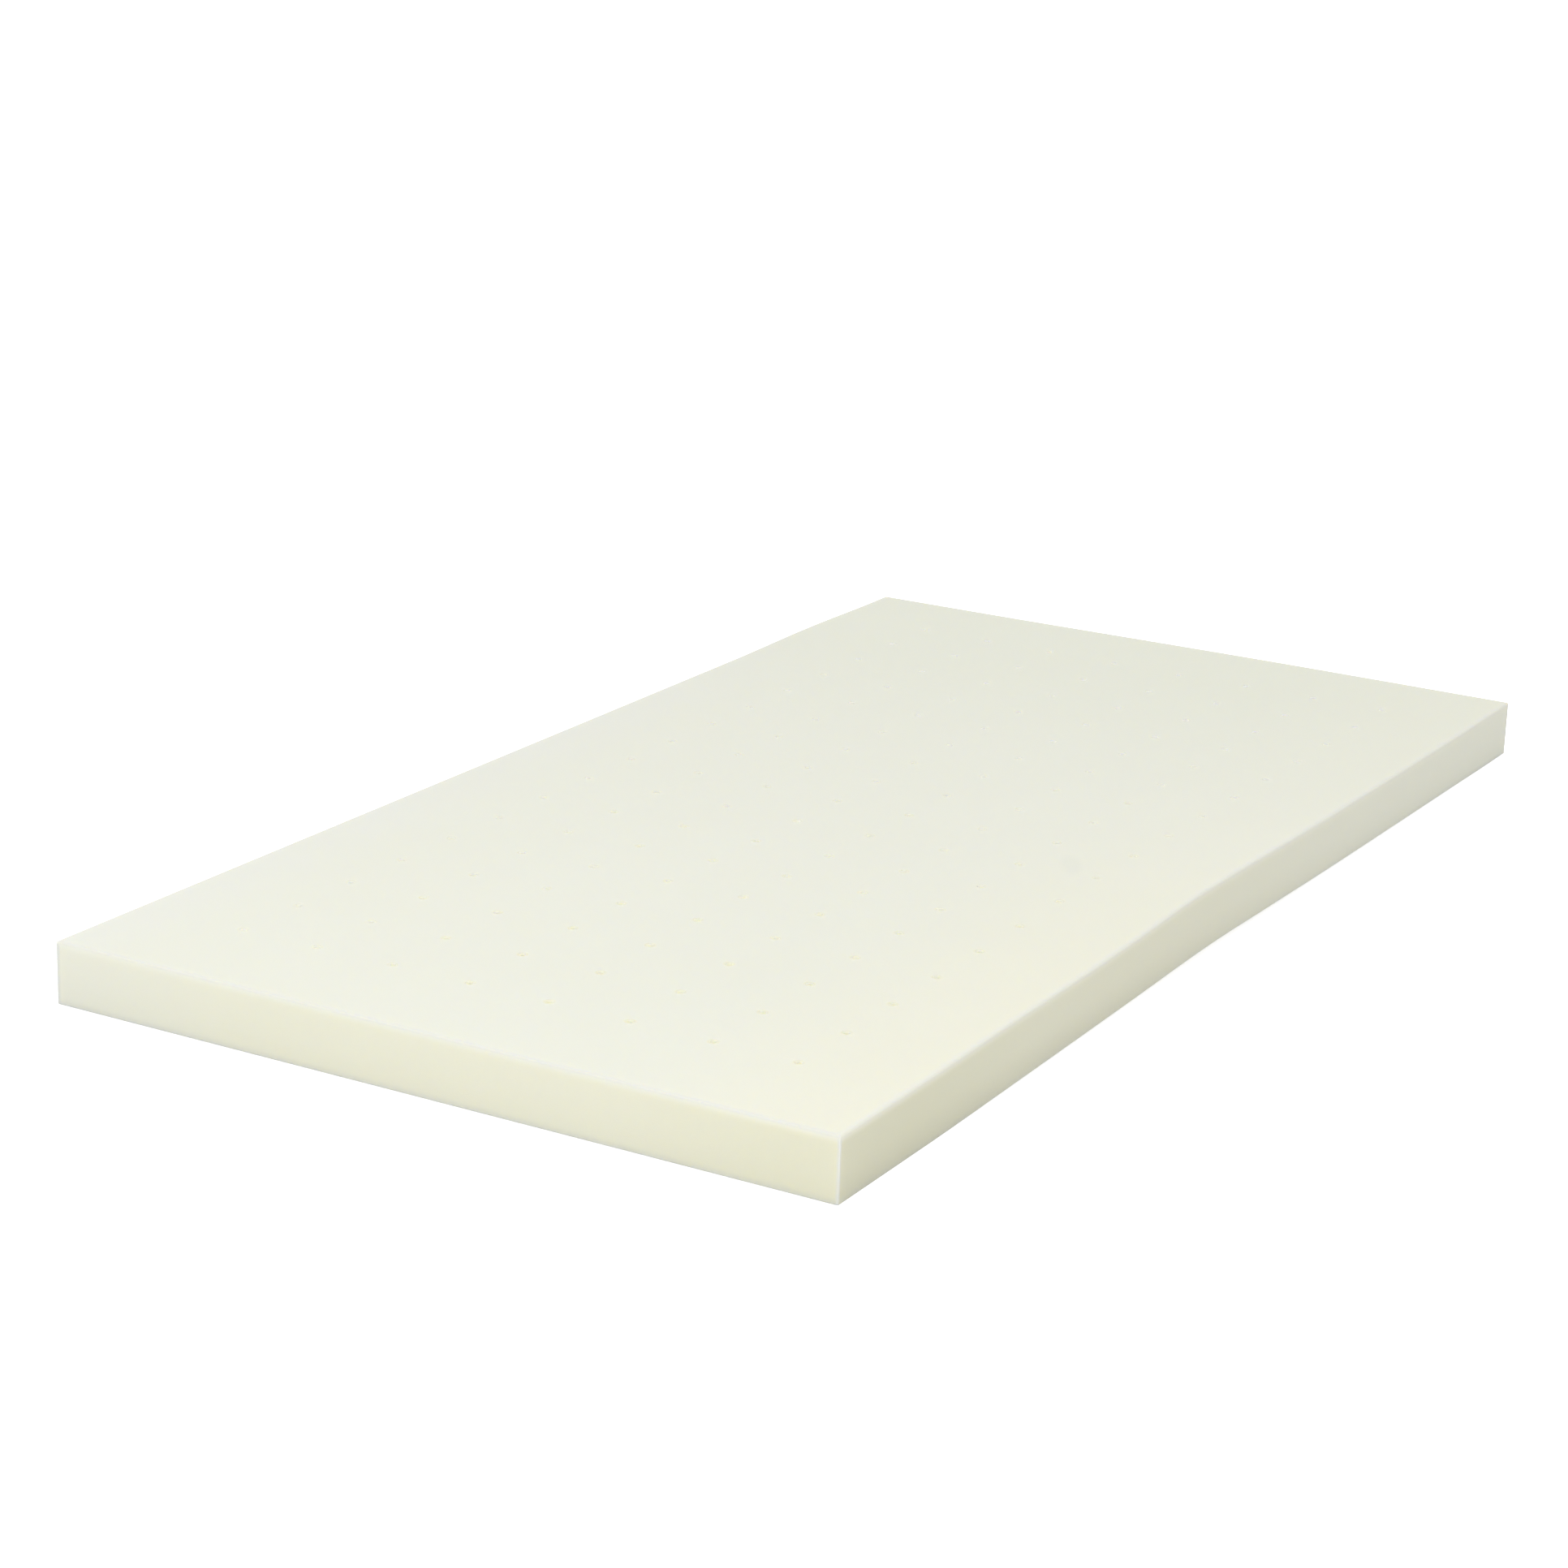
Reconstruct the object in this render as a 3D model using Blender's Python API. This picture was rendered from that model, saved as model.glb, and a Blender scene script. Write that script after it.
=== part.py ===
"""Mattress topper: one slab of ventilated foam, lying as it settles after being folded for its box.

Units are metres and +Z is up. X runs across the bed and Y along it, with the foot end at -Y.
The origin is on the surface that the slab lies on, under the middle of the slab.
"""

from typing import NamedTuple

import bmesh
import bpy
import numpy as np
from mathutils import Matrix

# The slab as it is cut
WIDTH = 0.990
LENGTH = 1.905
THICKNESS = 0.074
TOP_ROUND = 0.0025  # radius that the top edge has softened to
UNDER_ROUND = 0.001  # the same round the underside
ROUND_STEPS = 3  # faces across each softened edge

# The vents, punched straight through the slab
VENT_DIAMETER = 0.008
VENT_SIDES = 8
VENT_COLUMNS = 8
VENT_ROWS = 17
COLUMN_PITCH = 0.102
ROW_PITCH = 0.101
FIRST_COLUMN = 0.144  # from the left-hand edge to the middle of the first column
FIRST_ROW = 0.147  # from the foot end to the middle of the first row

FOAM_COLOUR = (0.85, 0.85, 0.74, 1.0)
FOAM_ROUGHNESS = 0.9
SHARP_ANGLE = 40  # degrees between two faces, past which their shared edge is shaded sharp


class EdgeStation(NamedTuple):
    """How high the right-hand edge stands at one place along it."""

    along: float  # distance from the foot end
    under: float  # lift of the underside off the surface
    top: float  # rise of the top face above its cut height


# The fold across the middle of the slab still holds this edge up, highest at the fold itself
FOLDED_EDGE = (
    EdgeStation(along=0.000, under=0.0000, top=0.0000),
    EdgeStation(along=0.200, under=0.0000, top=0.0008),
    EdgeStation(along=0.380, under=0.0023, top=0.0032),
    EdgeStation(along=0.550, under=0.0048, top=0.0040),
    EdgeStation(along=0.700, under=0.0072, top=0.0068),
    EdgeStation(along=0.830, under=0.0099, top=0.0108),
    EdgeStation(along=0.900, under=0.0106, top=0.0110),
    EdgeStation(along=1.050, under=0.0084, top=0.0080),
    EdgeStation(along=1.250, under=0.0053, top=0.0042),
    EdgeStation(along=1.500, under=0.0030, top=0.0020),
    EdgeStation(along=1.700, under=0.0015, top=0.0004),
    EdgeStation(along=1.860, under=0.0000, top=0.0001),
    EdgeStation(along=1.905, under=0.0000, top=0.0000),
)
FOLD_REACH = 0.480  # how far in from the edge the lift dies away


class Swell(NamedTuple):
    """A broad rise of the top face, or a dip where its height is negative."""

    across: float  # its middle, from the left-hand edge
    along: float  # its middle, from the foot end
    reach_across: float
    reach_along: float
    height: float


SWELLS = (
    Swell(across=0.530, along=0.440, reach_across=0.380, reach_along=0.400, height=0.0070),
    Swell(across=0.600, along=1.550, reach_across=0.500, reach_along=0.400, height=-0.0025),
    Swell(across=0.620, along=1.905, reach_across=0.450, reach_along=0.250, height=0.0015),
    Swell(across=0.000, along=1.660, reach_across=0.300, reach_along=0.200, height=0.0020),
)


def clear_scene():
    for old in list(bpy.data.objects):
        bpy.data.objects.remove(old, do_unlink=True)


def add_object(name, bm):
    """Turns a bmesh into a mesh object of that name, linked to the scene."""
    mesh = bpy.data.meshes.new(name)
    bm.to_mesh(mesh)
    bm.free()
    made = bpy.data.objects.new(name, mesh)
    bpy.context.scene.collection.objects.link(made)
    return made


def foam_material():
    material = bpy.data.materials.new("foam")
    material.use_nodes = True
    shader = material.node_tree.nodes["Principled BSDF"]
    shader.inputs["Base Color"].default_value = FOAM_COLOUR
    shader.inputs["Roughness"].default_value = FOAM_ROUGHNESS
    shader.inputs["Metallic"].default_value = 0.0
    return material


def station_curve(along, heights):
    """Smooth curve through the stations' heights: between two of them, the cubic with their slopes."""
    places = [station.along for station in FOLDED_EDGE]
    slopes = np.gradient(heights, places)
    after = int(np.clip(np.searchsorted(places, along), 1, len(places) - 1))
    before = after - 1
    span = places[after] - places[before]
    t = (along - places[before]) / span
    start = (1 + 2 * t) * (1 - t) ** 2 * heights[before] + t * (1 - t) ** 2 * span * slopes[before]
    end = t**2 * (3 - 2 * t) * heights[after] - t**2 * (1 - t) * span * slopes[after]
    return start + end


def fold_share(across):
    """Share of the folded edge's lift at a place across: 1 at the edge, and 0 from FOLD_REACH inwards."""
    return max(0.0, 1 - (WIDTH - across) / FOLD_REACH) ** 2


def swell_share(distance):
    """Height of a swell at a distance from its middle, both as shares: 1 in the middle, 0 at its reach."""
    return max(0.0, 1 - distance**2) ** 2


def underside(across, along):
    """Height of the underside: flat on the surface, lifting towards the folded edge."""
    lifts = [station.under for station in FOLDED_EDGE]
    return fold_share(across) * max(0.0, station_curve(along, lifts))


def top_face(across, along):
    """Height of the top face: the cut thickness, the folded edge's rise, and the swells."""
    rises = [station.top for station in FOLDED_EDGE]
    height = THICKNESS + fold_share(across) * station_curve(along, rises)
    for swell in SWELLS:
        share_across = swell_share((across - swell.across) / swell.reach_across)
        share_along = swell_share((along - swell.along) / swell.reach_along)
        height += swell.height * share_across * share_along
    return height


def cut_block(bm):
    """The straight block, its top and under edges softened, with its corners left crisp."""
    size = Matrix.Diagonal((WIDTH, LENGTH, THICKNESS, 1))
    bmesh.ops.create_cube(bm, size=1, matrix=Matrix.Translation((0, 0, THICKNESS / 2)) @ size)
    for level, radius in ((THICKNESS, TOP_ROUND), (0, UNDER_ROUND)):
        edges = [e for e in bm.edges if all(abs(v.co.z - level) < 1e-6 for v in e.verts)]
        bmesh.ops.bevel(
            bm, geom=edges, offset=radius, segments=ROUND_STEPS, profile=0.5, affect="EDGES"
        )


def divide(bm):
    """Divides the block's faces midway between the vents, so that it can bend there."""
    lines = [("X", FIRST_COLUMN + (i - 0.5) * COLUMN_PITCH) for i in range(VENT_COLUMNS + 1)]
    lines += [("Y", FIRST_ROW + (j - 0.5) * ROW_PITCH) for j in range(VENT_ROWS + 1)]
    for axis, place in lines:
        point = (place - WIDTH / 2, 0, 0) if axis == "X" else (0, place - LENGTH / 2, 0)
        normal = (1, 0, 0) if axis == "X" else (0, 1, 0)
        everything = bm.verts[:] + bm.edges[:] + bm.faces[:]
        bmesh.ops.bisect_plane(bm, geom=everything, plane_co=point, plane_no=normal)


def settle(bm):
    """Moves every point up or down, from its share of the cut thickness to the same share as it lies."""
    bmesh.ops.triangulate(bm, faces=bm.faces)
    for vertex in bm.verts:
        across = vertex.co.x + WIDTH / 2
        along = vertex.co.y + LENGTH / 2
        share = vertex.co.z / THICKNESS
        low = underside(across, along)
        vertex.co.z = low + share * (top_face(across, along) - low)


def vent_pins():
    """The pins that punch the vents: one for each, longer than the block is thick."""
    bm = bmesh.new()
    for column in range(VENT_COLUMNS):
        for row in range(VENT_ROWS):
            x = FIRST_COLUMN + column * COLUMN_PITCH - WIDTH / 2
            y = FIRST_ROW + row * ROW_PITCH - LENGTH / 2
            upright = Matrix.Translation((x, y, THICKNESS / 2))
            turned = Matrix.Rotation(np.pi / VENT_SIDES, 4, "Z")
            bmesh.ops.create_cone(
                bm,
                cap_ends=True,
                segments=VENT_SIDES,
                radius1=VENT_DIAMETER / 2,
                radius2=VENT_DIAMETER / 2,
                depth=2 * THICKNESS,
                matrix=upright @ turned,
            )
    pins = add_object("vent_pins", bm)
    pins.hide_render = True
    pins.display_type = "WIRE"
    return pins


def punch(block, pins):
    """Cuts the pins out of the block, and keeps the result as its mesh."""
    vents = block.modifiers.new("vents", "BOOLEAN")
    vents.operation = "DIFFERENCE"
    vents.solver = "EXACT"
    vents.object = pins
    bpy.context.view_layer.objects.active = block
    bpy.ops.object.modifier_apply(modifier=vents.name)


def foam_slab():
    """The one piece of the topper: cut and punched flat, then settled as it lies."""
    bm = bmesh.new()
    cut_block(bm)
    divide(bm)
    slab = add_object("foam_slab", bm)
    punch(slab, vent_pins())
    bm = bmesh.new()
    bm.from_mesh(slab.data)
    settle(bm)
    bm.to_mesh(slab.data)
    bm.free()
    slab.data.materials.append(foam_material())
    slab.data.shade_smooth()
    slab.data.set_sharp_from_angle(angle=np.radians(SHARP_ANGLE))


clear_scene()
foam_slab()
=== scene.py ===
"""Looks of a mattress topper: one slab of vented foam, lying as it settles after being folded for its box.

Units are metres and +Z is up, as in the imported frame. X runs across the bed and Y along it, with the
foot end at -Y. The origin is on the surface that the slab lies on, under the middle of the slab.
"""

import math

import bmesh
import bpy
import numpy as np
from mathutils import Matrix, Vector


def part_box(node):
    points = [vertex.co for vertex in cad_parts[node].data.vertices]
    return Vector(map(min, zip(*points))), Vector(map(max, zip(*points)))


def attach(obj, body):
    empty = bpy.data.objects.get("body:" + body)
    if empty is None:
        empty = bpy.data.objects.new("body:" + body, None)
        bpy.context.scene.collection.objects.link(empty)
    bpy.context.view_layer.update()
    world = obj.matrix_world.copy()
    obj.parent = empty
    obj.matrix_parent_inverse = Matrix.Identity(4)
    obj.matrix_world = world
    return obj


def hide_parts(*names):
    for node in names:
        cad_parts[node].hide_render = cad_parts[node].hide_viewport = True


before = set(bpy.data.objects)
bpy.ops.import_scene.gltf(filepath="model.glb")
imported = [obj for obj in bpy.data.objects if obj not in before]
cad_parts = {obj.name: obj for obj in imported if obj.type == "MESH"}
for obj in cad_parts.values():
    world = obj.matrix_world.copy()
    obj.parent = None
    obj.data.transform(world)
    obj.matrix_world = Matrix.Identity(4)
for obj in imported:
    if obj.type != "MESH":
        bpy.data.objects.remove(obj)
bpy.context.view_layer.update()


# ---- The slab ------------------------------------------------------------------------------------
# One slab of cream open-cell foam, sawn from a block by a straight blade, so that its faces are flat
# and its upright corners crisp. The handled top edge has softened, rows of vents are punched right
# through, and the fold that it was boxed with still holds one long edge off the floor.

lowest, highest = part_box("foam_slab")
WIDTH = highest.x - lowest.x
LENGTH = highest.y - lowest.y
THICKNESS = 0.074  # as cut
TOP_ROUND = 0.0025
UNDER_ROUND = 0.001
UPRIGHT_ROUND = 0.0008  # of the upright corners, which run to a point on the top and under face

VENT_RADIUS = 0.004
TOP_LIP = 0.0012  # rounding of a vent's mouth in the top face
UNDER_LIP = 0.0006
VENT_COLUMNS = 8
VENT_ROWS = 17
COLUMN_PITCH = 0.102
ROW_PITCH = 0.101
FIRST_COLUMN = 0.144  # from the left-hand edge to the middle of the first column
FIRST_ROW = 0.147  # from the foot end to the middle of the first row

# How high the right-hand edge stands along the slab: under is the lift of its underside off the floor,
# top the rise of its top face above the cut thickness.
FOLDED_EDGE = np.array(
    [
        (0.000, 0.0000, 0.0000),
        (0.200, 0.0000, 0.0008),
        (0.380, 0.0023, 0.0032),
        (0.550, 0.0048, 0.0040),
        (0.700, 0.0072, 0.0068),
        (0.830, 0.0099, 0.0108),
        (0.900, 0.0106, 0.0110),
        (1.050, 0.0084, 0.0080),
        (1.250, 0.0053, 0.0042),
        (1.500, 0.0030, 0.0020),
        (1.700, 0.0015, 0.0004),
        (1.860, 0.0000, 0.0001),
        (1.905, 0.0000, 0.0000),
    ],
    dtype=[("along", float), ("under", float), ("top", float)],
)
FOLD_REACH = 0.480  # how far in from the edge the lift dies away

# Broad rises and dips of the top face: the middle of each, how far it reaches, and its height.
SWELLS = np.array(
    [
        (0.530, 0.440, 0.380, 0.400, 0.0070),
        (0.600, 1.550, 0.500, 0.400, -0.0025),
        (0.620, 1.905, 0.450, 0.250, 0.0015),
        (0.000, 1.660, 0.300, 0.200, 0.0020),
    ],
    dtype=[
        ("across", float),
        ("along", float),
        ("reach_across", float),
        ("reach_along", float),
        ("height", float),
    ],
)


def station_curve(along, heights):
    """Cubic Hermite curve through the folded edge's stations: between two of them, each height and
    slope is weighted by the cubic that is 1 at its own end and 0 at the other."""
    places = FOLDED_EDGE["along"]
    slopes = np.gradient(heights, places)
    after = np.clip(np.searchsorted(places, along), 1, len(places) - 1)
    before = after - 1
    span = places[after] - places[before]
    t = (along - places[before]) / span
    start = (1 + 2 * t) * (1 - t) ** 2 * heights[before] + t * (1 - t) ** 2 * span * slopes[before]
    end = t**2 * (3 - 2 * t) * heights[after] - t**2 * (1 - t) * span * slopes[after]
    return start + end


def fold_share(across):
    """Share of the folded edge's lift: the square of a ramp from 1 at the edge to 0 at FOLD_REACH."""
    return np.clip(1 - (WIDTH - across) / FOLD_REACH, 0, None) ** 2


def swell_share(distance):
    """Share of a swell's height: one less the distance squared, squared again, and 0 past 1."""
    return np.clip(1 - distance**2, 0, None) ** 2


def underside(across, along):
    """Height of the underside: the folded edge's lift, carried in from the edge by its share."""
    return fold_share(across) * np.clip(station_curve(along, FOLDED_EDGE["under"]), 0, None)


def top_face(across, along):
    """Height of the top face: the thickness, plus the folded edge's rise by its share, plus each
    swell's height by the product of its shares across and along."""
    height = THICKNESS + fold_share(across) * station_curve(along, FOLDED_EDGE["top"])
    for swell in SWELLS:
        share_across = swell_share((across - swell["across"]) / swell["reach_across"])
        share_along = swell_share((along - swell["along"]) / swell["reach_along"])
        height = height + swell["height"] * share_across * share_along
    return height


def columns(*values):
    """The values side by side on a new last axis, each one stretched to their common shape."""
    return np.stack(np.broadcast_arrays(*values), axis=-1)


def settled(flat):
    """The flat slab's points (across, along, height) as it lies: each keeps its share of the thickness
    between the underside and the top face, and the middle of the slab moves to the origin."""
    across, along, height = np.moveaxis(flat, -1, 0)
    low = underside(across, along)
    z = low + height / THICKNESS * (top_face(across, along) - low)
    return columns(across - WIDTH / 2, along - LENGTH / 2, z)


# The stops are the lines that divide the flat faces: eight to each vent's cell, and closer together
# towards the slab's edges.
CELL_STEPS = 8
MARGIN_STEPS = 6
FIRST_STOP = 0.009  # from the edge
MARGIN_GROWTH = 1.5  # power by which a margin's steps widen inwards


def stops(length, first_vent, pitch, count):
    """Lines across one way of the slab: even steps over the vents' cells, and in each margin an even
    row of shares raised to a power, from FIRST_STOP to the outermost cell."""
    shares = np.linspace(0, 1, MARGIN_STEPS + 1)[:-1] ** MARGIN_GROWTH
    first_cell = first_vent - pitch / 2
    last_cell = first_cell + count * pitch
    near = FIRST_STOP + (first_cell - FIRST_STOP) * shares
    far = length - FIRST_STOP - (length - FIRST_STOP - last_cell) * shares[::-1]
    return near, np.linspace(first_cell, last_cell, count * CELL_STEPS + 1), far


left_stops, column_stops, right_stops = stops(WIDTH, FIRST_COLUMN, COLUMN_PITCH, VENT_COLUMNS)
foot_stops, row_stops, head_stops = stops(LENGTH, FIRST_ROW, ROW_PITCH, VENT_ROWS)
across_stops = np.concatenate([left_stops, column_stops, right_stops])
along_stops = np.concatenate([foot_stops, row_stops, head_stops])

# Each point carries marks for the materials: its distances over the surface, outwards past the top
# edge, up from the underside, and off the nearest upright edge and vent.
MARKS = ("past_edge", "above_under", "off_upright", "off_vent")
FAR_OFF = 0.2  # a distance that no material reaches
FOAM_FACE, VENT_WALL = 0, 1  # the places of their materials on the slab
points, faces, face_kinds, marks = [], [], [], []


def add_grid(flat, past_edge, above_under=FAR_OFF, off_upright=FAR_OFF, off_vent=FAR_OFF, kinds=FOAM_FACE):
    """Adds a grid, or a stack of grids, of points on the flat slab: each four neighbours on the last
    two axes make a face."""
    start = sum(len(p) for p in points)
    numbers = start + np.arange(flat[..., 0].size).reshape(flat.shape[:-1])
    corners = (
        numbers[..., :-1, :-1],
        numbers[..., :-1, 1:],
        numbers[..., 1:, 1:],
        numbers[..., 1:, :-1],
    )
    points.append(settled(flat).reshape(-1, 3))
    faces.append(np.stack(corners, axis=-1).reshape(-1, 4))
    face_kinds.append(np.broadcast_to(kinds, corners[0].shape).reshape(-1))
    distances = columns(flat[..., 0], past_edge, above_under, off_upright, off_vent)[..., 1:]
    marks.append(distances.reshape(-1, len(MARKS)))


def inward(across, along):
    """Distance from the nearest of the four softened edges, measured over the flat face."""
    to_side = np.minimum(across, WIDTH - across)
    to_end = np.minimum(along, LENGTH - along)
    return np.minimum(to_side, to_end) - TOP_ROUND


# Each vent and the square cell of both faces round it are one profile carried round the vent, from the
# cell's near left corner and back to it.
AROUND = 4 * CELL_STEPS
NEAR_LEFT = np.radians(-135)
around = np.arange(AROUND + 1)
turn = NEAR_LEFT + 2 * np.pi * around / AROUND
circle = columns(np.cos(turn), np.sin(turn))
at_corner = around[::CELL_STEPS]
square = columns(
    np.interp(around, at_corner, [-1, 1, 1, -1, -1]),
    np.interp(around, at_corner, [-1, -1, 1, 1, -1]),
)

# Faces along the profile of a vent, from the top face down and out over the underside
TOP_RINGS = 5
TOP_LIP_STEPS = 3
WALL_STEPS = 3
UNDER_LIP_STEPS = 2
UNDER_RINGS = 3
RING_GROWTH = 1.7  # power by which the rings widen away from the vent


def vent_profile():
    """Columns spread, radius and height, from the cell's sides in to the mouth, down the wall and out
    again below: spread is a power of an even row of shares, and each lip is a quarter circle."""
    spread_in = np.linspace(1, 0, TOP_RINGS + 1) ** RING_GROWTH
    spread_out = np.linspace(0, 1, UNDER_RINGS + 1)[1:] ** RING_GROWTH
    roll = np.linspace(np.pi / 2, 0, TOP_LIP_STEPS + 1)[1:]
    unroll = np.linspace(0, np.pi / 2, UNDER_LIP_STEPS + 1)[1:]
    down = np.linspace(THICKNESS - TOP_LIP, UNDER_LIP, WALL_STEPS + 1)[1:]
    rolled = VENT_RADIUS + TOP_LIP * (1 - np.cos(roll))
    unrolled = VENT_RADIUS + UNDER_LIP * (1 - np.cos(unroll))
    return np.concatenate(
        [
            columns(spread_in, VENT_RADIUS + TOP_LIP, THICKNESS),
            columns(0, rolled, THICKNESS - TOP_LIP * (1 - np.sin(roll))),
            columns(0, VENT_RADIUS, down),
            columns(0, unrolled, UNDER_LIP * (1 - np.sin(unroll))),
            columns(spread_out, VENT_RADIUS + UNDER_LIP, 0),
        ]
    )


profile = vent_profile()
spread, radius, height = profile.T[:, :, None, None]
half_cell = np.array([COLUMN_PITCH, ROW_PITCH]) / 2
mouth = (1 - spread) * radius * circle + spread * half_cell * square
column_places = FIRST_COLUMN + COLUMN_PITCH * np.arange(VENT_COLUMNS)
row_places = FIRST_ROW + ROW_PITCH * np.arange(VENT_ROWS)
middles = columns(column_places[:, None], row_places)
plan = middles[:, :, None, None, :] + mouth
cells = columns(plan[..., 0], plan[..., 1], height[..., 0])
ring = np.arange(len(profile) - 1)[:, None]
in_vent = (ring >= TOP_RINGS) & (ring < len(profile) - 1 - UNDER_RINGS)
add_grid(
    cells,
    past_edge=-inward(cells[..., 0], cells[..., 1]),
    off_vent=np.linalg.norm(mouth, axis=-1) - VENT_RADIUS,
    kinds=np.where(in_vent, VENT_WALL, FOAM_FACE),
)


def add_margin(across, along, level, flip):
    """A flat grid over the margin between the vents' cells and the softened edge, on one face."""
    flat = columns(across[None, :], along[:, None], level)
    flat = flat[:, ::-1] if flip else flat
    add_grid(flat, past_edge=-inward(flat[..., 0], flat[..., 1]))


for level, inset, flip in ((THICKNESS, TOP_ROUND, False), (0.0, UNDER_ROUND, True)):
    left = np.concatenate([[inset], left_stops, column_stops[:1]])
    right = np.concatenate([column_stops[-1:], right_stops, [WIDTH - inset]])
    foot = np.concatenate([[inset], foot_stops, row_stops[:1]])
    head = np.concatenate([row_stops[-1:], head_stops, [LENGTH - inset]])
    whole_length = np.concatenate([foot[:-1], row_stops, head[1:]])
    for across, along in (
        (left, whole_length),
        (right, whole_length),
        (column_stops, foot),
        (column_stops, head),
    ):
        add_margin(across, along, level, flip)


# The rim is the section of the edge carried round the slab's outline.
ARC_STEPS = 8
SIDE_STEPS = 10
UNDER_STEPS = 4
CORNER_STEPS = 4


def rim_section():
    """Columns inset and height from the underside up to the top face: a quarter circle of the under
    edge, the straight side, and a quarter circle of the top edge."""
    under = np.linspace(0, np.pi / 2, UNDER_STEPS + 1)
    side = np.linspace(UNDER_ROUND, THICKNESS - TOP_ROUND, SIDE_STEPS + 1)[1:-1]
    top = np.linspace(0, np.pi / 2, ARC_STEPS + 1)
    return np.concatenate(
        [
            columns(UNDER_ROUND * (1 - np.sin(under)), UNDER_ROUND * (1 - np.cos(under))),
            columns(0, side),
            columns(TOP_ROUND * (1 - np.cos(top)), THICKNESS - TOP_ROUND * (1 - np.sin(top))),
        ]
    )


def outline():
    """The slab's outline as three columns of plan vectors: a point of it is the first, plus the inset
    times the second, plus the corner radius times the third. Anticlockwise from the near left corner."""
    anchors, inwards, rounds = [], [], []
    corners = [(0, 0), (WIDTH, 0), (WIDTH, LENGTH), (0, LENGTH)]
    diagonals = np.array([(1, 1), (-1, 1), (-1, -1), (1, -1)])  # the way inwards from each corner
    sides = [across_stops, along_stops, across_stops[::-1], along_stops[::-1]]
    for quarter, ((x, y), diagonal, side) in enumerate(zip(corners, diagonals, sides)):
        arc = np.linspace(np.pi, 1.5 * np.pi, CORNER_STEPS + 1) + quarter * np.pi / 2
        anchors.append(np.broadcast_to((x, y), (len(arc), 2)))
        inwards.append(np.broadcast_to(diagonal, (len(arc), 2)))
        rounds.append(diagonal + columns(np.cos(arc), np.sin(arc)))
        straight_in = (diagonal + diagonals[(quarter + 1) % 4]) / 2
        anchors.append(columns(side, y) if quarter % 2 == 0 else columns(x, side))
        inwards.append(np.broadcast_to(straight_in, (len(side), 2)))
        rounds.append(np.zeros((len(side), 2)))
    return [np.concatenate(runs + runs[:1]) for runs in (anchors, inwards, rounds)]


section = rim_section()
inset, height = section.T[:, :, None]
edge_round = np.where(height < THICKNESS / 2, UNDER_ROUND, TOP_ROUND)
corner_radius = UPRIGHT_ROUND * (1 - inset / edge_round)
anchor, inwards, rounds = outline()
plan = anchor + inset[..., None] * inwards + corner_radius[..., None] * rounds
rim = columns(plan[..., 0], plan[..., 1], height)
lengths = np.linalg.norm(np.diff(section, axis=0), axis=1)
travelled = np.concatenate([[0], np.cumsum(lengths)])[:, None]
off_sides = np.minimum(rim[..., 0], WIDTH - rim[..., 0])
off_ends = np.minimum(rim[..., 1], LENGTH - rim[..., 1])
off_corner = np.maximum(off_sides, off_ends)
add_grid(
    rim,
    past_edge=travelled[-1] - travelled,
    above_under=travelled,
    off_upright=np.clip(off_corner - UPRIGHT_ROUND, 0, None),
)

mesh = bpy.data.meshes.new("vented_slab")
mesh.from_pydata(np.concatenate(points), [], np.concatenate(faces).tolist())
mesh.polygons.foreach_set("material_index", np.concatenate(face_kinds).astype(np.int32))
for name, values in zip(MARKS, np.concatenate(marks).T):
    mesh.attributes.new(name, "FLOAT", "POINT").data.foreach_set("value", values.astype(np.float32))

WELD = 1e-5  # the grids meet point for point, so only rounding parts them
bm = bmesh.new()
bm.from_mesh(mesh)
bmesh.ops.remove_doubles(bm, verts=bm.verts, dist=WELD)
bm.to_mesh(mesh)
bm.free()
mesh.shade_smooth()
slab = bpy.data.objects.new("vented_slab", mesh)
bpy.context.scene.collection.objects.link(slab)
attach(slab, "root")
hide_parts("foam_slab")


# ---- The foam's finish ---------------------------------------------------------------------------
# Polyurethane foam with no cover: matt, cream, made of open cells well under a millimetre. It is
# smoother and paler on its faces, and yellower where the saw and the punch opened it. It has aged most
# at the near right corner. Painted light and shade is laid in as well: paler edges, tones towards the
# left and the head end and near-white vent walls, with painted shade on the foot end's top edge, along
# the under edge, low on the right side and on the vents' lips.


def add_node(tree, kind, inputs=(), **settings):
    """Adds a node and sets it up: an input given a socket is linked to it, any other is set to the value."""
    made = tree.nodes.new(kind)
    for name, value in settings.items():
        setattr(made, name, value)
    for name, value in dict(inputs).items():
        if isinstance(value, bpy.types.NodeSocket):
            tree.links.new(value, made.inputs[name])
        else:
            made.inputs[name].default_value = value
    return made


def ramp(tree, value, start, end, low=0.0, high=1.0):
    """Smooth mask: low where value is at start, high where it is at end, and between them three times
    the share's square less twice its cube."""
    inputs = {"Value": value, "From Min": start, "From Max": end, "To Min": low, "To Max": high}
    made = add_node(tree, "ShaderNodeMapRange", inputs, interpolation_type="SMOOTHSTEP")
    return made.outputs["Result"]


def calculate(tree, operation, first, second=0.0):
    """What the named operation makes of the two values."""
    return add_node(tree, "ShaderNodeMath", {0: first, 1: second}, operation=operation).outputs["Value"]


def times(tree, first, second):
    """Product of the two values."""
    return calculate(tree, "MULTIPLY", first, second)


def band(tree, value, rise, fall):
    """Mask over a band of the value: the ramp of its rise times the ramp of its fall."""
    return times(tree, ramp(tree, value, *rise), ramp(tree, value, *fall))


MIX_FACTOR, MIX_FIRST, MIX_SECOND, MIX_RESULT = 0, 6, 7, 2  # the Mix node's sockets for colours


def mix(tree, factor, first, second):
    """The first colour where factor is 0, and the second where it is 1."""
    inputs = {MIX_FACTOR: factor, MIX_FIRST: first, MIX_SECOND: second}
    return add_node(tree, "ShaderNodeMix", inputs, data_type="RGBA").outputs[MIX_RESULT]


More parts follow.
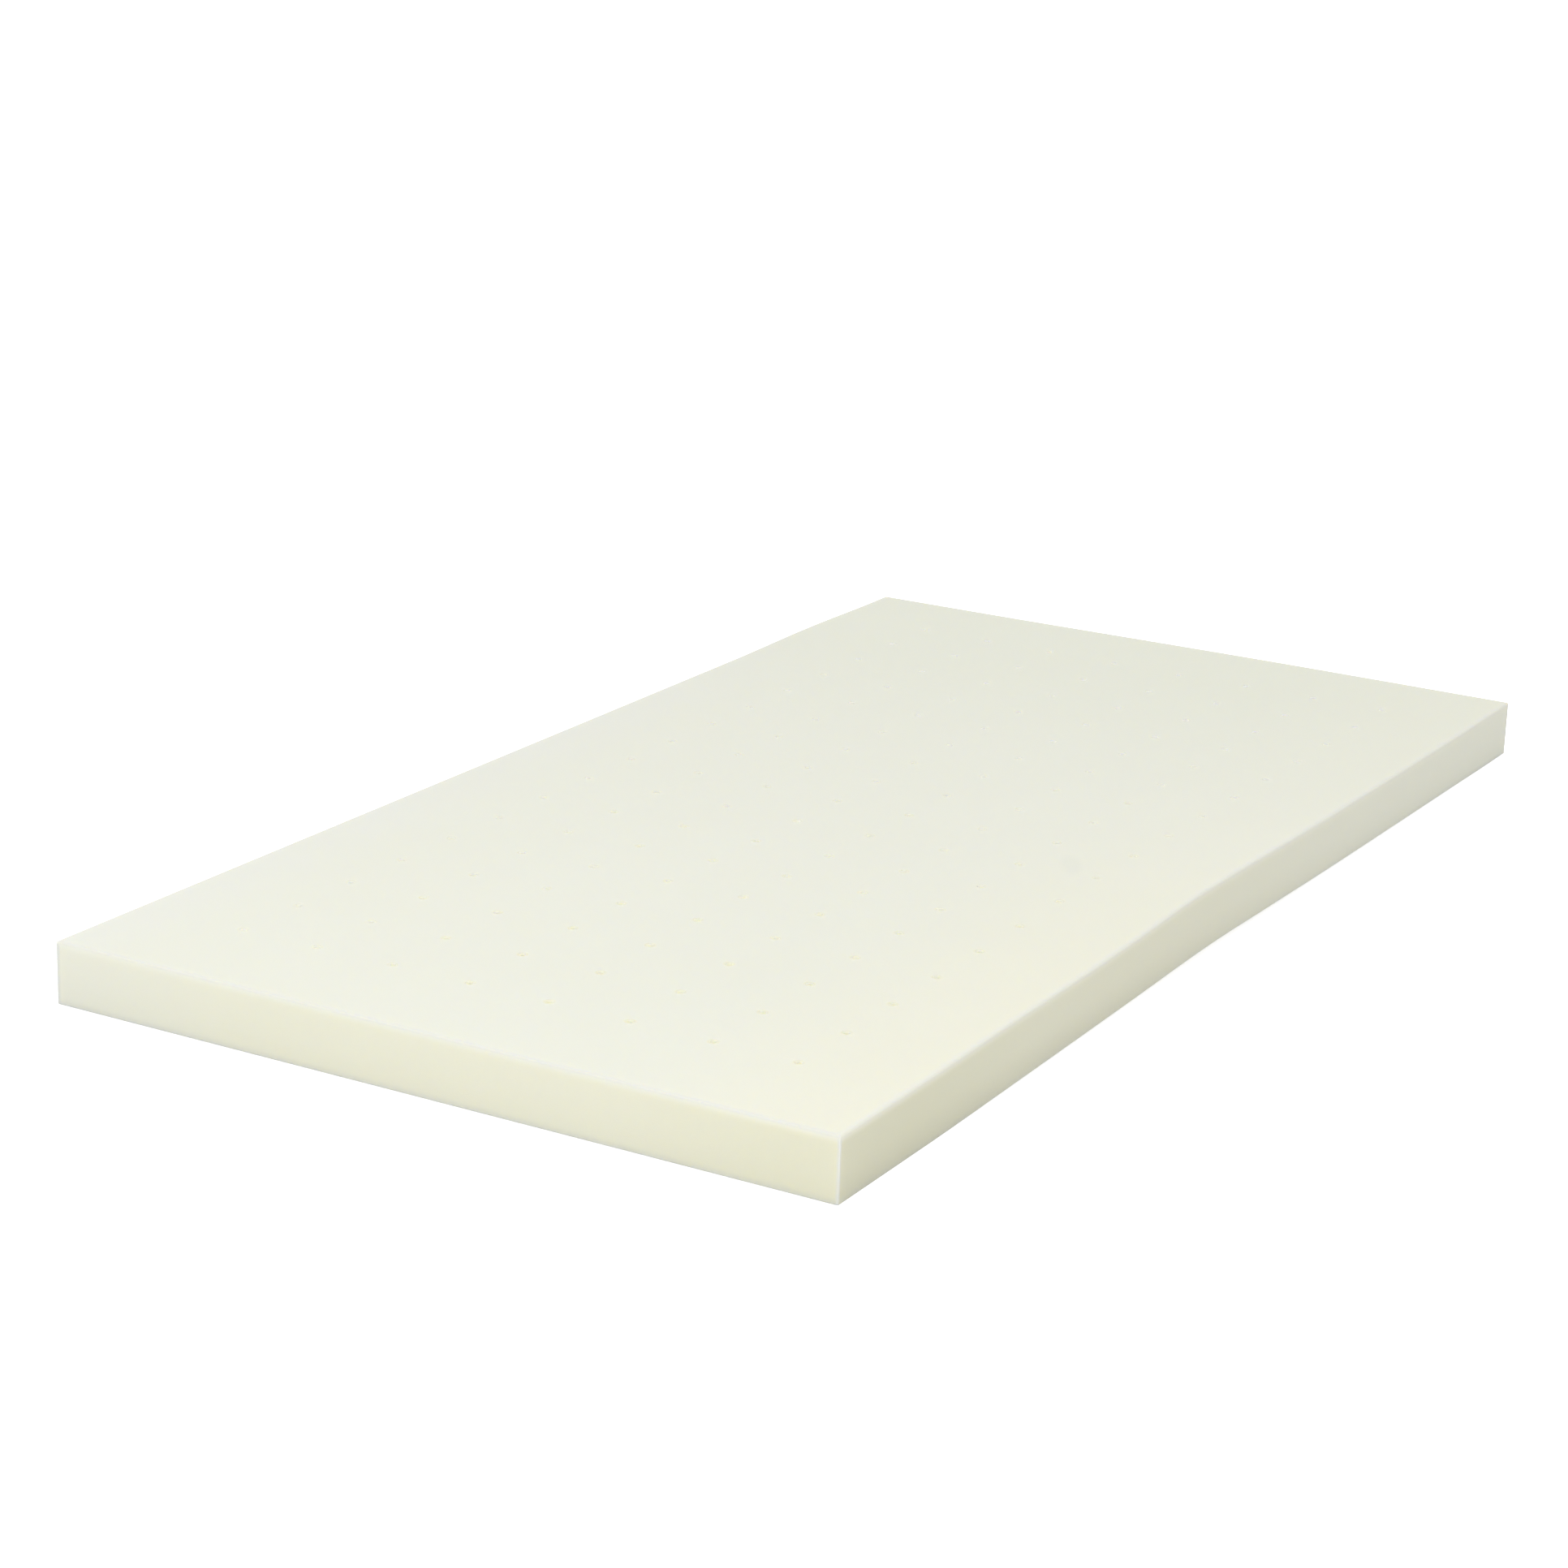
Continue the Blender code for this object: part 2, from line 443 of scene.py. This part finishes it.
def object_place(tree):
    """A point's place on the object, which is also its place in the frame."""
    return add_node(tree, "ShaderNodeTexCoord").outputs["Object"]


def across_and_along(tree, place):
    """The parts of a place across the slab and along it, from its middle."""
    parts = add_node(tree, "ShaderNodeSeparateXYZ", {"Vector": place}).outputs
    return parts["X"], parts["Y"]


def new_group(name, inputs, outputs):
    """A shader node group with its sockets, and those of them that are reached from inside it."""
    tree = bpy.data.node_groups.new(name, "ShaderNodeTree")
    for socket, value in inputs.items():
        made = tree.interface.new_socket(socket, in_out="INPUT", socket_type="NodeSocketFloat")
        made.default_value = value
    for socket in outputs:
        tree.interface.new_socket(socket, in_out="OUTPUT", socket_type="NodeSocketFloat")
    return tree, tree.nodes.new("NodeGroupInput").outputs, tree.nodes.new("NodeGroupOutput").inputs


FOAM_CELL = 0.0007  # size of the foam's cells
PRESSED_CELL = 0.0005  # the same in the vents' walls, which the punch has pressed
BROKEN_CELL = 3.1  # how many times wider a broken cell is than a whole one


def nearest(tree, place, scale):
    """Distance to the nearest of scattered points, as a share of a cell."""
    inputs = {"Vector": place, "Scale": scale}
    return add_node(tree, "ShaderNodeTexVoronoi", inputs).outputs["Distance"]


def open_cells():
    """The foam's cells, from the distance to the nearest of scattered points: low and dark in the
    middle of a cell, high on the struts between cells. Wider scattered points break some of them."""
    tree, given, result = new_group("open cells", {"Cell Size": FOAM_CELL}, ["Height", "Pore"])
    place = object_place(tree)
    scale = calculate(tree, "DIVIDE", 1.0, given["Cell Size"])
    cell = nearest(tree, place, scale)
    broken = nearest(tree, place, calculate(tree, "DIVIDE", scale, BROKEN_CELL))
    strut = ramp(tree, cell, 0.15, 0.75)
    whole = ramp(tree, broken, 0.08, 0.35)
    tree.links.new(times(tree, strut, whole), result["Height"])
    middle = ramp(tree, cell, 0.40, 0.05)
    broken_middle = ramp(tree, broken, 0.9, 0.1, 0.4, 1.0)
    tree.links.new(times(tree, middle, broken_middle), result["Pore"])
    return tree


def mottling():
    """Soft patches of 0 to 1, from noise of the patch's size with two finer layers on it."""
    tree, given, result = new_group("mottling", {"Patch Size": 0.1}, ["Patch"])
    scale = calculate(tree, "DIVIDE", 1.0, given["Patch Size"])
    inputs = {"Vector": object_place(tree), "Scale": scale, "Detail": 2.0, "Roughness": 0.45}
    noise = add_node(tree, "ShaderNodeTexNoise", inputs)
    tree.links.new(ramp(tree, noise.outputs["Fac"], 0.32, 0.68), result["Patch"])
    return tree


OPEN_CELLS = open_cells()
MOTTLING = mottling()


def add_group(tree, group, **inputs):
    """Places a group, its inputs set to the values given under their names, and returns its outputs."""
    made = add_node(tree, "ShaderNodeGroup", node_tree=group)
    for name, value in inputs.items():
        made.inputs[name.replace("_", " ")].default_value = value
    return made.outputs


def new_material(name):
    """An empty material: its node tree, its Principled shader and itself."""
    material = bpy.data.materials.new(name)
    material.use_nodes = True
    return material.node_tree, material.node_tree.nodes["Principled BSDF"], material


def mark(tree, name):
    """One of the marks that the mesh's points carry."""
    return add_node(tree, "ShaderNodeAttribute", attribute_name=name).outputs["Fac"]


def bump(tree, height, strength, depth, **below):
    """Normal of the surface with the height laid on it, times its strength and depth."""
    inputs = {"Strength": strength, "Distance": depth, "Height": height, **below}
    return add_node(tree, "ShaderNodeBump", inputs).outputs["Normal"]


def yellowness(tree, across, along):
    """How yellow the foam is at a vent: most at the near right corner, less towards the head and the left."""
    by_along = ramp(tree, along, -0.85, 0.85, 1.0, 0.15)
    by_across = ramp(tree, across, 0.10, -0.45, 1.0, 0.50)
    return calculate(tree, "MINIMUM", by_along, by_across)


# The smooth skin of the flat faces, and the sawn sides where the cells are open
SKIN = (0.799, 0.808, 0.704, 1)
# The _LEFT and _HEAD tones are painted light and shade, for how the light falls towards the left and the head
# end
SKIN_LEFT = (0.797, 0.806, 0.726, 1)
SKIN_HEAD = (0.783, 0.796, 0.680, 1)
SKIN_AGED = (0.827, 0.821, 0.686, 1)
SKIN_AT_VENT = (0.798, 0.787, 0.600, 1)
SAWN = (0.787, 0.782, 0.647, 1)
SAWN_LEFT = (0.771, 0.777, 0.690, 1)
SAWN_HEAD = (0.814, 0.828, 0.746, 1)
SAWN_AGED = (0.768, 0.760, 0.605, 1)
SAWN_OLDEST = (0.718, 0.708, 0.538, 1)

# Tones of the edges, painted light and shade along them and low down, and a stain
TOP_EDGE = (0.775, 0.780, 0.720, 1)
# painted shade on the foot end's top edge
TOP_EDGE_PAINTED_SHADE = (0.738, 0.743, 0.694, 1)
UPRIGHT_EDGE = (0.730, 0.742, 0.700, 1)
UPRIGHT_EDGE_GREY = (0.655, 0.680, 0.660, 1)
# painted shade: greyer along the under edge, and darker low down on the right side
PAINTED_UNDER_SHADE = (0.700, 0.710, 0.660, 1)
PAINTED_LOW_SHADE = (0.540, 0.530, 0.430, 1)
STAIN = (0.640, 0.655, 0.590, 1)
STAIN_MIDDLE = (0.315, -0.070, 0.078)
STAIN_TURN = (0, 0, 0.516)
STAIN_REACH = (0.018, 0.055, 0.030)

# Broad patches of another tone, and the shade inside the cells, each with how far it shows
PATCH = (0.780, 0.778, 0.655, 1)
PATCH_SHARE = 0.10
PORE = (0.500, 0.480, 0.330, 1)
PORE_SHARE = 0.10

# Sizes of the patches of tone, of the shallow waves in the surface, and of the tone in the vents
TONE_SIZE = 0.11
WAVE_SIZE = 0.025
VENT_TONE_SIZE = 0.004

CELL_RELIEF = 0.3
CELL_DEPTH = 0.0002
FOAM_SPECULAR = 0.05
FOAM_SCATTER = (1.0, 0.9, 0.6)  # how far red, green and blue light go in the foam, as shares of its scale


def skin_and_sides(tree, across, along, past_edge, off_vent):
    """The foam's colour before the marks laid over it: paler along the left edge, and aged most at the near
    right corner. Its tones towards the left and the head end are painted light and shade, for how the
    light falls there. With it come the mask of the ageing and the mask of the right-hand side."""
    # on the faces: less yellow along the left edge and a little darker towards the head end, painted light
    # and shade
    leftmost = ramp(tree, across, -0.38, -0.49)
    headmost = ramp(tree, along, 0.10, 0.93)
    skin = mix(tree, leftmost, SKIN, SKIN_LEFT)
    skin = mix(tree, headmost, skin, SKIN_HEAD)
    # on the sawn sides: less yellow towards the left and the head end, darker to the left and paler to the
    # head, painted light and shade
    left_painted_tone = ramp(tree, across, -0.15, -0.495, 0.0, 0.75)
    head_painted_tone = ramp(tree, along, -0.5, 0.95, 0.0, 0.7)
    side = mix(tree, left_painted_tone, SAWN, SAWN_LEFT)
    side = mix(tree, head_painted_tone, side, SAWN_HEAD)

    rightmost = ramp(tree, across, 0.18, 0.48)
    aged = times(tree, rightmost, ramp(tree, along, 0.35, -0.50, 0.3, 1.0))
    right_side = ramp(tree, across, 0.4940, 0.4948)
    near_corner = times(tree, right_side, ramp(tree, along, -0.45, -0.95))
    skin = mix(tree, aged, skin, SKIN_AGED)
    side = mix(tree, aged, side, SAWN_AGED)
    side = mix(tree, near_corner, side, SAWN_OLDEST)

    sawn = ramp(tree, past_edge, 0.002, 0.013)
    colour = mix(tree, sawn, skin, side)

    # the punch has left the skin round each vent's mouth a little yellower
    crushed = times(tree, ramp(tree, off_vent, 0.0042, 0.0010), yellowness(tree, across, along))
    return mix(tree, crushed, colour, SKIN_AT_VENT), aged, right_side


def stained(tree, place, colour):
    """The colour with one faint long stain near the fold: an ellipse, faded by the distance from its
    middle as a share of its reach."""
    lying = {"Location": STAIN_MIDDLE, "Rotation": STAIN_TURN, "Scale": STAIN_REACH}
    turned = add_node(tree, "ShaderNodeMapping", {"Vector": place, **lying}, vector_type="TEXTURE")
    distance = add_node(tree, "ShaderNodeVectorMath", {0: turned.outputs["Vector"]}, operation="LENGTH")
    inside = ramp(tree, distance.outputs["Value"], 1.0, 0.3, 0.0, 0.15)
    return mix(tree, inside, colour, STAIN)


def foam_face():
    """The slab's flat faces and sides: the foam's colour, with the stain, the edges' tones and painted light
    and shade mixed over it one after another, each by its mask."""
    tree, shader, material = new_material("foam")
    past_edge = mark(tree, "past_edge")
    above_under = mark(tree, "above_under")
    off_upright = mark(tree, "off_upright")
    off_vent = mark(tree, "off_vent")
    place = object_place(tree)
    across, along = across_and_along(tree, place)
    colour, aged, right_side = skin_and_sides(tree, across, along, past_edge, off_vent)
    colour = stained(tree, place, colour)

    # less yellow and a little darker along the top edge and the upright edges: painted light and shade, the
    # paleness that light through the foam gives an edge, toned down against the light the rounds catch
    on_top_edge = band(tree, past_edge, rise=(-0.007, 0.001, 0.0, 0.7), fall=(0.010, 0.003))
    colour = mix(tree, on_top_edge, colour, TOP_EDGE)
    below_top = ramp(tree, past_edge, 0.002, 0.008)
    on_upright = times(tree, ramp(tree, off_upright, 0.004, 0.0), below_top)
    colour = mix(tree, on_upright, colour, UPRIGHT_EDGE)

    # painted shade darkens the foot end's top edge, against the light that its round catches, and every
    # upright edge but the near right one is greyer
    on_round = band(tree, past_edge, rise=(-0.0020, 0.0016), fall=(0.0056, 0.0026))
    at_foot = ramp(tree, along, -0.948, -0.950)
    colour = mix(tree, times(tree, on_round, at_foot), colour, TOP_EDGE_PAINTED_SHADE)
    near_upright = times(tree, ramp(tree, off_upright, 0.006, 0.001), ramp(tree, past_edge, 0.002, 0.006))
    left_or_head = calculate(tree, "MAXIMUM", ramp(tree, across, 0.1, -0.1), ramp(tree, along, -0.1, 0.1))
    colour = mix(tree, times(tree, near_upright, left_or_head), colour, UPRIGHT_EDGE_GREY)

    # painted shade: a little grey along the under edge, and darker low down on the right side, most towards
    # the near corner, where the slab meets the floor and the fold lifts it
    painted_under_shade = ramp(tree, above_under, 0.010, 0.001, 0.0, 0.3)
    colour = mix(tree, painted_under_shade, colour, PAINTED_UNDER_SHADE)
    low_down = ramp(tree, above_under, 0.040, 0.002, 0.0, 0.25)
    painted_low_shade = times(tree, times(tree, right_side, aged), low_down)
    colour = mix(tree, painted_low_shade, colour, PAINTED_LOW_SHADE)

    patch = add_group(tree, MOTTLING, Patch_Size=TONE_SIZE)["Patch"]
    colour = mix(tree, times(tree, patch, PATCH_SHARE), colour, PATCH)
    cells = add_group(tree, OPEN_CELLS, Cell_Size=FOAM_CELL)
    colour = mix(tree, times(tree, cells["Pore"], PORE_SHARE), colour, PORE)
    tree.links.new(colour, shader.inputs["Base Color"])

    relief = add_group(tree, MOTTLING, Patch_Size=WAVE_SIZE)["Patch"]
    waves = bump(tree, relief, strength=0.25, depth=0.0004)
    normal = bump(tree, cells["Height"], CELL_RELIEF, CELL_DEPTH, Normal=waves)
    tree.links.new(normal, shader.inputs["Normal"])
    tree.links.new(ramp(tree, cells["Pore"], 0.0, 1.0, 0.86, 0.97), shader.inputs["Roughness"])
    shader.inputs["Specular IOR Level"].default_value = FOAM_SPECULAR
    shader.inputs["Subsurface Weight"].default_value = 0.8
    shader.inputs["Subsurface Radius"].default_value = FOAM_SCATTER
    shader.inputs["Subsurface Scale"].default_value = 0.010
    return material


# The vents' lips and walls, and what they turn to where the foam is yellowest. The walls' near white is
# painted light against the shade inside a vent, the lips' darker tone painted shade
LIP = (0.710, 0.717, 0.590, 1)
LIP_YELLOW = (0.765, 0.757, 0.570, 1)
WALL = (0.985, 0.985, 0.900, 1)
WALL_YELLOW = (0.985, 0.962, 0.740, 1)
WALL_DEEP_YELLOW = (0.975, 0.952, 0.690, 1)


def vent_wall():
    """The punched walls of the vents, from the lip down: yellower, most of all near the right corner of
    the foot end, and glowing with the light that the foam round them lets through. Their near-white
    tone is painted light against the shade inside a vent, and the darker lips are painted shade."""
    tree, shader, material = new_material("vent wall")
    across, along = across_and_along(tree, object_place(tree))
    yellow = yellowness(tree, across, along)
    patch = add_group(tree, MOTTLING, Patch_Size=VENT_TONE_SIZE)["Patch"]
    wall = mix(tree, yellow, WALL, mix(tree, patch, WALL_YELLOW, WALL_DEEP_YELLOW))
    lip = mix(tree, yellow, LIP, LIP_YELLOW)
    colour = mix(tree, ramp(tree, mark(tree, "off_vent"), TOP_LIP, 0.0), lip, wall)
    tree.links.new(colour, shader.inputs["Base Color"])
    cells = add_group(tree, OPEN_CELLS, Cell_Size=PRESSED_CELL)
    normal = bump(tree, cells["Height"], CELL_RELIEF, CELL_DEPTH)
    tree.links.new(normal, shader.inputs["Normal"])
    shader.inputs["Roughness"].default_value = 0.9
    shader.inputs["Specular IOR Level"].default_value = FOAM_SPECULAR
    shader.inputs["Subsurface Weight"].default_value = 1.0
    shader.inputs["Subsurface Radius"].default_value = FOAM_SCATTER
    shader.inputs["Subsurface Scale"].default_value = 0.060
    return material


slab.data.materials.append(foam_face())
slab.data.materials.append(vent_wall())


# ---- The floor and the light ---------------------------------------------------------------------
# A plain white studio floor, bright enough in the picture for the slab to throw next to no shadow on
# it. Light comes from all round, more of it from the left and the head end, and a softbox stands in
# front of the foot end and lights the floor there. The floor before the foot end also glows onto the
# slab, a painted glow.

FLOOR_REACH = 60.0
FLOOR_DROP = 0.0004  # below the underside, so that the two faces don't fight
reach = np.array([[-1, -1], [1, -1], [1, 1], [-1, 1]]) * FLOOR_REACH
floor_mesh = bpy.data.meshes.new("floor")
floor_mesh.from_pydata(np.column_stack([reach, np.full(4, -FLOOR_DROP)]), [], [(0, 1, 2, 3)])
floor = bpy.data.objects.new("floor", floor_mesh)
bpy.context.scene.collection.objects.link(floor)

FLOOR_COLOUR = (0.855, 0.855, 0.855, 1)
GLOW = 0.70  # what the floor adds of its own light in the picture, so that it comes out white
# the floor before the foot end glows onto the slab: a painted glow, standing in for light thrown back
FRONT_GLOW = 0.21  # what the part of it before the foot end throws back at the slab beyond the rest
WHITE = (1, 1, 1, 1)
tree, shader, material = new_material("floor")
shader.inputs["Base Color"].default_value = FLOOR_COLOUR
shader.inputs["Roughness"].default_value = 1.0
shader.inputs["Specular IOR Level"].default_value = 0.0
shader.inputs["Emission Color"].default_value = WHITE
seen = add_node(tree, "ShaderNodeLightPath").outputs["Is Camera Ray"]
along = across_and_along(tree, object_place(tree))[1]
front = ramp(tree, along, -0.9, -1.1, 0.0, FRONT_GLOW)
glow = calculate(tree, "MAXIMUM", times(tree, seen, GLOW), front)
tree.links.new(glow, shader.inputs["Emission Strength"])
floor_mesh.materials.append(material)

EVEN_LIGHT = 0.91
LEAN = (-0.13, 0.24, 0.0)  # how much more light comes from the left and the head end, as a share
BACKDROP = 1.5  # brightness in the picture of what lies past the floor
world = bpy.data.worlds.new("studio")
world.use_nodes = True
tree = world.node_tree
direction = add_node(tree, "ShaderNodeTexCoord").outputs["Generated"]
leaning = add_node(tree, "ShaderNodeVectorMath", {0: direction, 1: LEAN}, operation="DOT_PRODUCT")
light = times(tree, calculate(tree, "ADD", leaning.outputs["Value"], 1.0), EVEN_LIGHT)
seen = add_node(tree, "ShaderNodeLightPath").outputs["Is Camera Ray"]
strength = calculate(tree, "MAXIMUM", light, times(tree, seen, BACKDROP))
background = tree.nodes["Background"]
background.inputs["Color"].default_value = WHITE
tree.links.new(strength, background.inputs["Strength"])
bpy.context.scene.world = world


def softbox(name, at, aimed_at, size, watts):
    """A square area light, turned so that it faces the point it is aimed at."""
    data = bpy.data.lights.new(name, "AREA")
    data.size = size
    data.energy = watts
    made = bpy.data.objects.new(name, data)
    made.location = at
    made.rotation_mode = "QUATERNION"
    made.rotation_quaternion = (Vector(at) - Vector(aimed_at)).to_track_quat("Z", "Y")
    made.visible_camera = False
    bpy.context.scene.collection.objects.link(made)


softbox("front", at=(0.2, -3.0, 1.8), aimed_at=(0.2, -1.8, 0), size=3.0, watts=24)

bpy.context.scene.view_settings.view_transform = "Standard"


# ---- The camera ----------------------------------------------------------------------------------
# A camera with a long lens, held at shoulder height off the near right corner. It looks down across
# the slab, with a slight roll.

CAMERA_PLACE = (2.1341, -3.9770, 1.4923)
YAW = math.radians(29.56)  # to the left of the slab's length
DOWN = math.radians(17.134)
ROLL = math.radians(1.843)
SENSOR = 36.0  # millimetres, as the lens is
LENS = 87.07
camera = bpy.data.objects.new("camera", bpy.data.cameras.new("camera"))
camera.data.sensor_width = SENSOR
camera.data.lens = LENS
camera.data.dof.use_dof = False
turned = Matrix.Rotation(YAW, 4, "Z")
tilted = turned @ Matrix.Rotation(math.pi / 2 - DOWN, 4, "X")
rolled = tilted @ Matrix.Rotation(ROLL, 4, "Z")
camera.matrix_world = Matrix.Translation(CAMERA_PLACE) @ rolled
bpy.context.scene.collection.objects.link(camera)
bpy.context.scene.camera = camera
